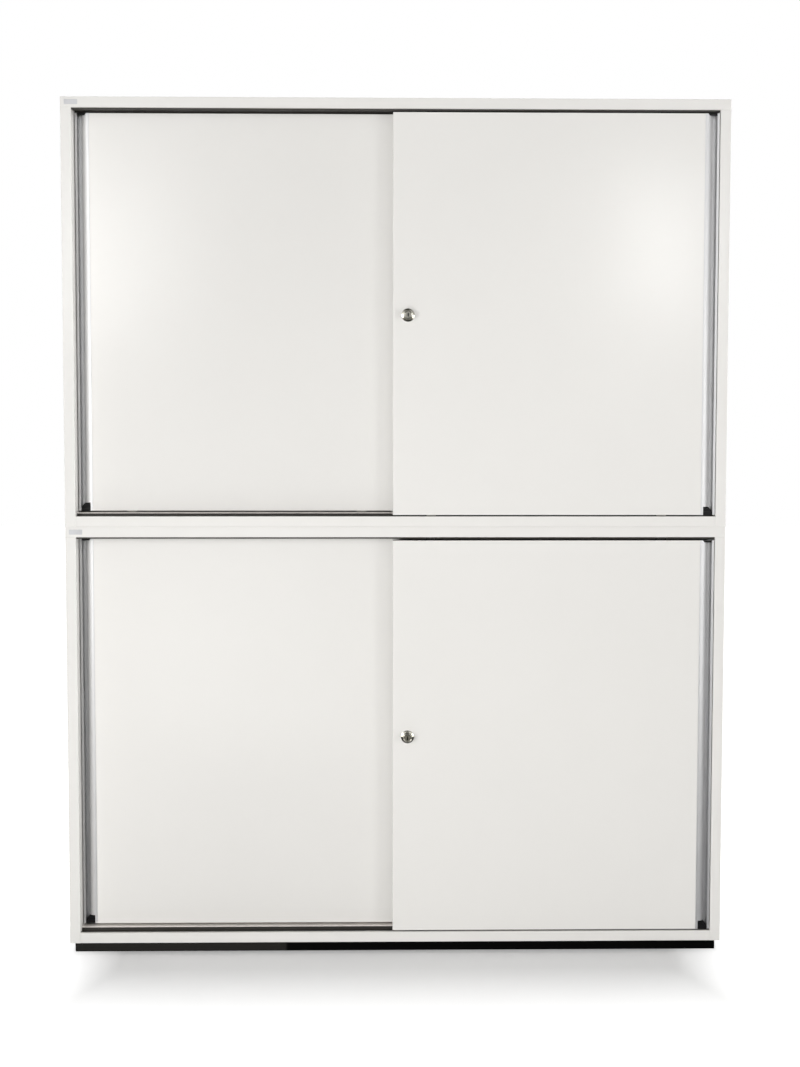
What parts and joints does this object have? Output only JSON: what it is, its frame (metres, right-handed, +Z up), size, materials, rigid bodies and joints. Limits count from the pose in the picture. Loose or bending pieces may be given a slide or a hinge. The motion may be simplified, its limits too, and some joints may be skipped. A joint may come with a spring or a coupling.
{
  "type": "sliding door cabinet",
  "caption": "Stacked white sliding door cases on a plinth, with overlapping doors on rollers, edge grips, push locks, shelves and partitions.",
  "frame": {"origin": "middle of the footprint's bounding box, on the floor under the plinth", "axes": "+Z up, -Y towards someone facing the doors, +X to their right"},
  "size_m": [1.2, 0.465, 1.554],
  "materials": {
    "white_melamine": "satin melamine",
    "grip_aluminium": "satin anodised",
    "black_plastic": "fine texture",
    "roller_plastic": "moulded",
    "dark_track": "extruded",
    "pale_track": "extruded",
    "lock_chrome": "polished",
    "zinc_steel": "zinc plated",
    "black_steel": "powder coated",
    "plate_plastic": "blank"
  },
  "bodies": {
    "cabinet": {"plinth_frame": "black_steel", "shelf_pins": "zinc_steel", "joining_bolts": "zinc_steel", "blank_plates": "plate_plastic", "lower_bottom_panel": "white_melamine", "lower_left_panel": "white_melamine", "lower_right_panel": "white_melamine", "lower_top_panel": "white_melamine", "lower_back_panel": "white_melamine", "lower_partition": "white_melamine", "lower_left_shelf": "white_melamine", "lower_right_shelf": "white_melamine", "lower_top_track": "dark_track", "lower_bottom_track": "pale_track", "upper_bottom_panel": "white_melamine", "upper_left_panel": "white_melamine", "upper_right_panel": "white_melamine", "upper_top_panel": "white_melamine", "upper_back_panel": "white_melamine", "upper_partition": "white_melamine", "upper_left_shelf": "white_melamine", "upper_right_shelf": "white_melamine", "upper_top_track": "dark_track", "upper_bottom_track": "pale_track"},
    "lower_front_door": {"lower_front_door_panel": "white_melamine", "lower_front_door_grip": "grip_aluminium", "lower_front_door_end_caps": "black_plastic", "lower_front_door_runner_housings": "black_plastic", "lower_front_door_top_guides": "black_plastic", "lower_lock_housing": "lock_chrome", "lower_lock_nut": "lock_chrome"},
    "lower_rear_door": {"lower_rear_door_panel": "white_melamine", "lower_rear_door_grip": "grip_aluminium", "lower_rear_door_end_caps": "black_plastic", "lower_rear_door_runner_housings": "black_plastic", "lower_rear_door_top_guides": "black_plastic", "lower_lock_keeper": "zinc_steel"},
    "lower_lock": {"lower_lock_plug": "lock_chrome"},
    "lower_front_door_inner_roller": {"lower_front_door_inner_roller": "roller_plastic"},
    "lower_front_door_outer_roller": {"lower_front_door_outer_roller": "roller_plastic"},
    "lower_rear_door_inner_roller": {"lower_rear_door_inner_roller": "roller_plastic"},
    "lower_rear_door_outer_roller": {"lower_rear_door_outer_roller": "roller_plastic"},
    "upper_front_door": {"upper_front_door_panel": "white_melamine", "upper_front_door_grip": "grip_aluminium", "upper_front_door_end_caps": "black_plastic", "upper_front_door_runner_housings": "black_plastic", "upper_front_door_top_guides": "black_plastic", "upper_lock_housing": "lock_chrome", "upper_lock_nut": "lock_chrome"},
    "upper_rear_door": {"upper_rear_door_panel": "white_melamine", "upper_rear_door_grip": "grip_aluminium", "upper_rear_door_end_caps": "black_plastic", "upper_rear_door_runner_housings": "black_plastic", "upper_rear_door_top_guides": "black_plastic", "upper_lock_keeper": "zinc_steel"},
    "upper_lock": {"upper_lock_plug": "lock_chrome"},
    "upper_front_door_inner_roller": {"upper_front_door_inner_roller": "roller_plastic"},
    "upper_front_door_outer_roller": {"upper_front_door_outer_roller": "roller_plastic"},
    "upper_rear_door_inner_roller": {"upper_rear_door_inner_roller": "roller_plastic"},
    "upper_rear_door_outer_roller": {"upper_rear_door_outer_roller": "roller_plastic"}
  },
  "joints": [
    {"name": "lower_front_door_slide", "type": "slide", "parent": "cabinet", "child": "lower_front_door", "axis": [1, 0, 0], "range_m": [-0.572, 0]},
    {"name": "lower_rear_door_slide", "type": "slide", "parent": "cabinet", "child": "lower_rear_door", "axis": [1, 0, 0], "range_m": [0, 0.572]},
    {"name": "lower_lock_push", "type": "slide", "parent": "lower_front_door", "child": "lower_lock", "axis": [0, 1, 0], "range_m": [0, 0.008], "stiffness_N_per_m": 300},
    {"name": "lower_front_door_inner_roller_spin", "type": "hinge", "parent": "lower_front_door", "child": "lower_front_door_inner_roller", "pos_m": [0.0635, -0.2035, 0.0435], "axis": [0, 1, 0], "range_deg": [-3280, 0]},
    {"name": "lower_front_door_outer_roller_spin", "type": "hinge", "parent": "lower_front_door", "child": "lower_front_door_outer_roller", "pos_m": [0.4842, -0.2035, 0.0435], "axis": [0, 1, 0], "range_deg": [-3280, 0]},
    {"name": "lower_rear_door_inner_roller_spin", "type": "hinge", "parent": "lower_rear_door", "child": "lower_rear_door_inner_roller", "pos_m": [-0.0635, -0.1715, 0.0495], "axis": [0, 1, 0], "range_deg": [0, 3280]},
    {"name": "lower_rear_door_outer_roller_spin", "type": "hinge", "parent": "lower_rear_door", "child": "lower_rear_door_outer_roller", "pos_m": [-0.4842, -0.1715, 0.0495], "axis": [0, 1, 0], "range_deg": [0, 3280]},
    {"name": "upper_front_door_slide", "type": "slide", "parent": "cabinet", "child": "upper_front_door", "axis": [1, 0, 0], "range_m": [-0.572, 0]},
    {"name": "upper_rear_door_slide", "type": "slide", "parent": "cabinet", "child": "upper_rear_door", "axis": [1, 0, 0], "range_m": [0, 0.572]},
    {"name": "upper_lock_push", "type": "slide", "parent": "upper_front_door", "child": "upper_lock", "axis": [0, 1, 0], "range_m": [0, 0.008], "stiffness_N_per_m": 300},
    {"name": "upper_front_door_inner_roller_spin", "type": "hinge", "parent": "upper_front_door", "child": "upper_front_door_inner_roller", "pos_m": [0.0635, -0.2035, 0.8115], "axis": [0, 1, 0], "range_deg": [-3280, 0]},
    {"name": "upper_front_door_outer_roller_spin", "type": "hinge", "parent": "upper_front_door", "child": "upper_front_door_outer_roller", "pos_m": [0.4842, -0.2035, 0.8115], "axis": [0, 1, 0], "range_deg": [-3280, 0]},
    {"name": "upper_rear_door_inner_roller_spin", "type": "hinge", "parent": "upper_rear_door", "child": "upper_rear_door_inner_roller", "pos_m": [-0.0635, -0.1715, 0.8175], "axis": [0, 1, 0], "range_deg": [0, 3280]},
    {"name": "upper_rear_door_outer_roller_spin", "type": "hinge", "parent": "upper_rear_door", "child": "upper_rear_door_outer_roller", "pos_m": [-0.4842, -0.1715, 0.8175], "axis": [0, 1, 0], "range_deg": [0, 3280]}
  ],
  "couplings": [
    {"joint": "lower_front_door_inner_roller_spin", "follows": "lower_front_door_slide", "rad_per_m": 100},
    {"joint": "lower_front_door_outer_roller_spin", "follows": "lower_front_door_slide", "rad_per_m": 100},
    {"joint": "lower_rear_door_inner_roller_spin", "follows": "lower_rear_door_slide", "rad_per_m": 100},
    {"joint": "lower_rear_door_outer_roller_spin", "follows": "lower_rear_door_slide", "rad_per_m": 100},
    {"joint": "upper_front_door_inner_roller_spin", "follows": "upper_front_door_slide", "rad_per_m": 100},
    {"joint": "upper_front_door_outer_roller_spin", "follows": "upper_front_door_slide", "rad_per_m": 100},
    {"joint": "upper_rear_door_inner_roller_spin", "follows": "upper_rear_door_slide", "rad_per_m": 100},
    {"joint": "upper_rear_door_outer_roller_spin", "follows": "upper_rear_door_slide", "rad_per_m": 100}
  ]
}
